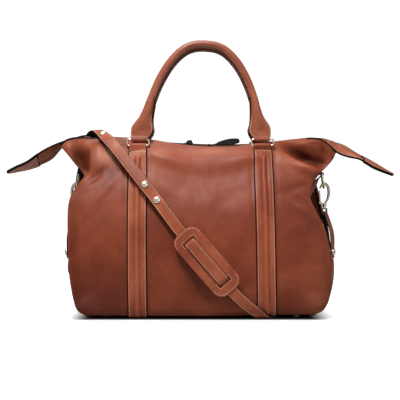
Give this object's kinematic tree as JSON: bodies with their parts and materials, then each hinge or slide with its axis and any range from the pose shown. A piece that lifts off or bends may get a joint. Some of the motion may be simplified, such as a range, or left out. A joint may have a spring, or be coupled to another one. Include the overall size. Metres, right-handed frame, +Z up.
{
  "type": "weekender bag",
  "caption": "Soft leather weekender with rolled handles on oval rings, winged zip top, sewn anchor straps and a studded shoulder strap with a slotted pad on swivel snap hooks",
  "frame": {"origin": "On the floor under the middle of the base, at the flat foot in the centre of the base", "axes": "+X runs to the wearer's right along the zip seen from the front, -Y is the front, +Z is up"},
  "size_m": [0.7705, 0.262, 0.5414],
  "materials": {
    "body_leather": "soft full-grain cowhide, cognac, satin",
    "trim_leather": "stitched cognac trim leather with painted black edges",
    "strap_leather": "strap leather with a black backing",
    "black_leather": "black leather, painted edge",
    "pale_brass": "polished pale brass",
    "lining_cloth": "dark cotton twill",
    "zip_tape": "black woven zip tape",
    "board": "pressed fibre board",
    "cord": "cotton cord"
  },
  "bodies": {
    "bag": {"front_panel": "body_leather", "back_panel": "body_leather", "left_gusset": "body_leather", "right_gusset": "body_leather", "base_panel": "body_leather", "base_board": "board", "feet": "pale_brass", "foot_washers": "pale_brass", "lining_walls": "lining_cloth", "lining_ends": "lining_cloth", "lining_floor": "lining_cloth", "front_left_anchor_strap": "trim_leather", "front_right_anchor_strap": "trim_leather", "back_left_anchor_strap": "trim_leather", "back_right_anchor_strap": "trim_leather", "strap_fillers": "cord", "front_left_chape": "trim_leather", "front_right_chape": "trim_leather", "back_left_chape": "trim_leather", "back_right_chape": "trim_leather", "front_zip_facing": "trim_leather", "back_zip_facing": "trim_leather", "front_zip_tape": "zip_tape", "back_zip_tape": "zip_tape", "front_zip_teeth": "pale_brass", "back_zip_teeth": "pale_brass", "left_dring_tab": "trim_leather", "right_dring_tab": "trim_leather", "shoulder_strap": "strap_leather", "left_strap_tail": "strap_leather", "right_strap_tail": "strap_leather", "strap_studs": "pale_brass"},
    "front_ring_pair": {"front_handle_rings": "pale_brass"},
    "back_ring_pair": {"back_handle_rings": "pale_brass"},
    "front_handle": {"front_handle_grip": "trim_leather", "front_handle_core": "cord", "front_handle_tabs": "trim_leather"},
    "back_handle": {"back_handle_grip": "trim_leather", "back_handle_core": "cord", "back_handle_tabs": "trim_leather"},
    "zip_slider_left": {"left_slider": "pale_brass"},
    "zip_slider_right": {"right_slider": "pale_brass"},
    "zip_pull_left": {"left_pull_link": "pale_brass", "left_pull_tab": "black_leather"},
    "zip_pull_right": {"right_pull_link": "pale_brass", "right_pull_tab": "black_leather"},
    "wing_left": {"left_wing_strip": "trim_leather", "left_wing_tab": "trim_leather"},
    "wing_right": {"right_wing_strip": "trim_leather", "right_wing_tab": "trim_leather"},
    "dring_left": {"left_dring": "pale_brass"},
    "dring_right": {"right_dring": "pale_brass"},
    "hook_left": {"left_hook": "pale_brass"},
    "hook_right": {"right_hook": "pale_brass"},
    "gate_left": {"left_hook_gate": "pale_brass"},
    "gate_right": {"right_hook_gate": "pale_brass"},
    "pad": {"shoulder_pad": "strap_leather", "pad_strap_run": "strap_leather"},
    "eye_left": {"left_hook_eye": "pale_brass"},
    "eye_right": {"right_hook_eye": "pale_brass"}
  },
  "joints": [
    {"name": "front_rings_hinge", "type": "hinge", "parent": "bag", "child": "front_ring_pair", "pos_m": [0, -0.0486, 0.334], "axis": [1, 0, 0], "range_deg": [0, 70]},
    {"name": "back_rings_hinge", "type": "hinge", "parent": "bag", "child": "back_ring_pair", "pos_m": [0, 0.0486, 0.334], "axis": [-1, 0, 0], "range_deg": [0, 70]},
    {"name": "front_handle_hinge", "type": "hinge", "parent": "front_ring_pair", "child": "front_handle", "pos_m": [0, -0.0486, 0.346], "axis": [1, 0, 0], "range_deg": [-6, 60]},
    {"name": "back_handle_hinge", "type": "hinge", "parent": "back_ring_pair", "child": "back_handle", "pos_m": [0, 0.0486, 0.346], "axis": [-1, 0, 0], "range_deg": [-6, 60]},
    {"name": "left_slider_slide", "type": "slide", "parent": "bag", "child": "zip_slider_left", "axis": [1, 0, 0], "range_m": [-0.11, 0.02]},
    {"name": "right_slider_slide", "type": "slide", "parent": "bag", "child": "zip_slider_right", "axis": [1, 0, 0], "range_m": [0, 0.125]},
    {"name": "left_pull_hinge", "type": "hinge", "parent": "zip_slider_left", "child": "zip_pull_left", "pos_m": [-0.04, 0, 0.3358], "axis": [0, -1, 0], "range_deg": [-12, 130]},
    {"name": "right_pull_hinge", "type": "hinge", "parent": "zip_slider_right", "child": "zip_pull_right", "pos_m": [0.018, 0, 0.3358], "axis": [0, -1, 0], "range_deg": [-6, 130]},
    {"name": "left_wing_flex", "type": "hinge", "parent": "bag", "child": "wing_left", "pos_m": [-0.276, 0, 0.3366], "axis": [0, 1, 0], "range_deg": [-14, 14], "stiffness_Nm_per_rad": 0.05},
    {"name": "right_wing_flex", "type": "hinge", "parent": "bag", "child": "wing_right", "pos_m": [0.265, 0, 0.334], "axis": [0, -1, 0], "range_deg": [-14, 14], "stiffness_Nm_per_rad": 0.05},
    {"name": "right_dring_hinge", "type": "hinge", "parent": "bag", "child": "dring_right", "pos_m": [0.242, 0, 0.2785], "axis": [0, -1, 0], "range_deg": [-4, 4]},
    {"name": "left_dring_hinge", "type": "hinge", "parent": "bag", "child": "dring_left", "pos_m": [-0.242, 0, 0.2785], "axis": [0, 1, 0], "range_deg": [-4, 4]},
    {"name": "right_eye_hinge", "type": "hinge", "parent": "bag", "child": "eye_right", "pos_m": [0.2474, 0, 0.2005], "axis": [0.4067, 0.9135, 0], "range_deg": [-2, 2]},
    {"name": "left_eye_hinge", "type": "hinge", "parent": "bag", "child": "eye_left", "pos_m": [-0.2474, 0, 0.2005], "axis": [0, -1, 0], "range_deg": [-2, 2]},
    {"name": "right_hook_swivel", "type": "hinge", "parent": "eye_right", "child": "hook_right", "pos_m": [0.2474, 0, 0.215], "axis": [0, 0, 1], "range_deg": [-20, 20]},
    {"name": "left_hook_swivel", "type": "hinge", "parent": "eye_left", "child": "hook_left", "pos_m": [-0.2474, 0, 0.215], "axis": [0, 0, 1], "range_deg": [-20, 20]},
    {"name": "right_gate_hinge", "type": "hinge", "parent": "hook_right", "child": "gate_right", "pos_m": [0.2398, 0, 0.2215], "axis": [0, 1, 0], "range_deg": [0, 22], "stiffness_Nm_per_rad": 0.02, "springref_deg": -11.46},
    {"name": "left_gate_hinge", "type": "hinge", "parent": "hook_left", "child": "gate_left", "pos_m": [-0.2398, 0, 0.2215], "axis": [0, -1, 0], "range_deg": [0, 22], "stiffness_Nm_per_rad": 0.02, "springref_deg": -11.46},
    {"name": "pad_slide", "type": "slide", "parent": "bag", "child": "pad", "axis": [0.6564, -0.0404, -0.7533], "range_m": [-0.012, 0.012]}
  ]
}
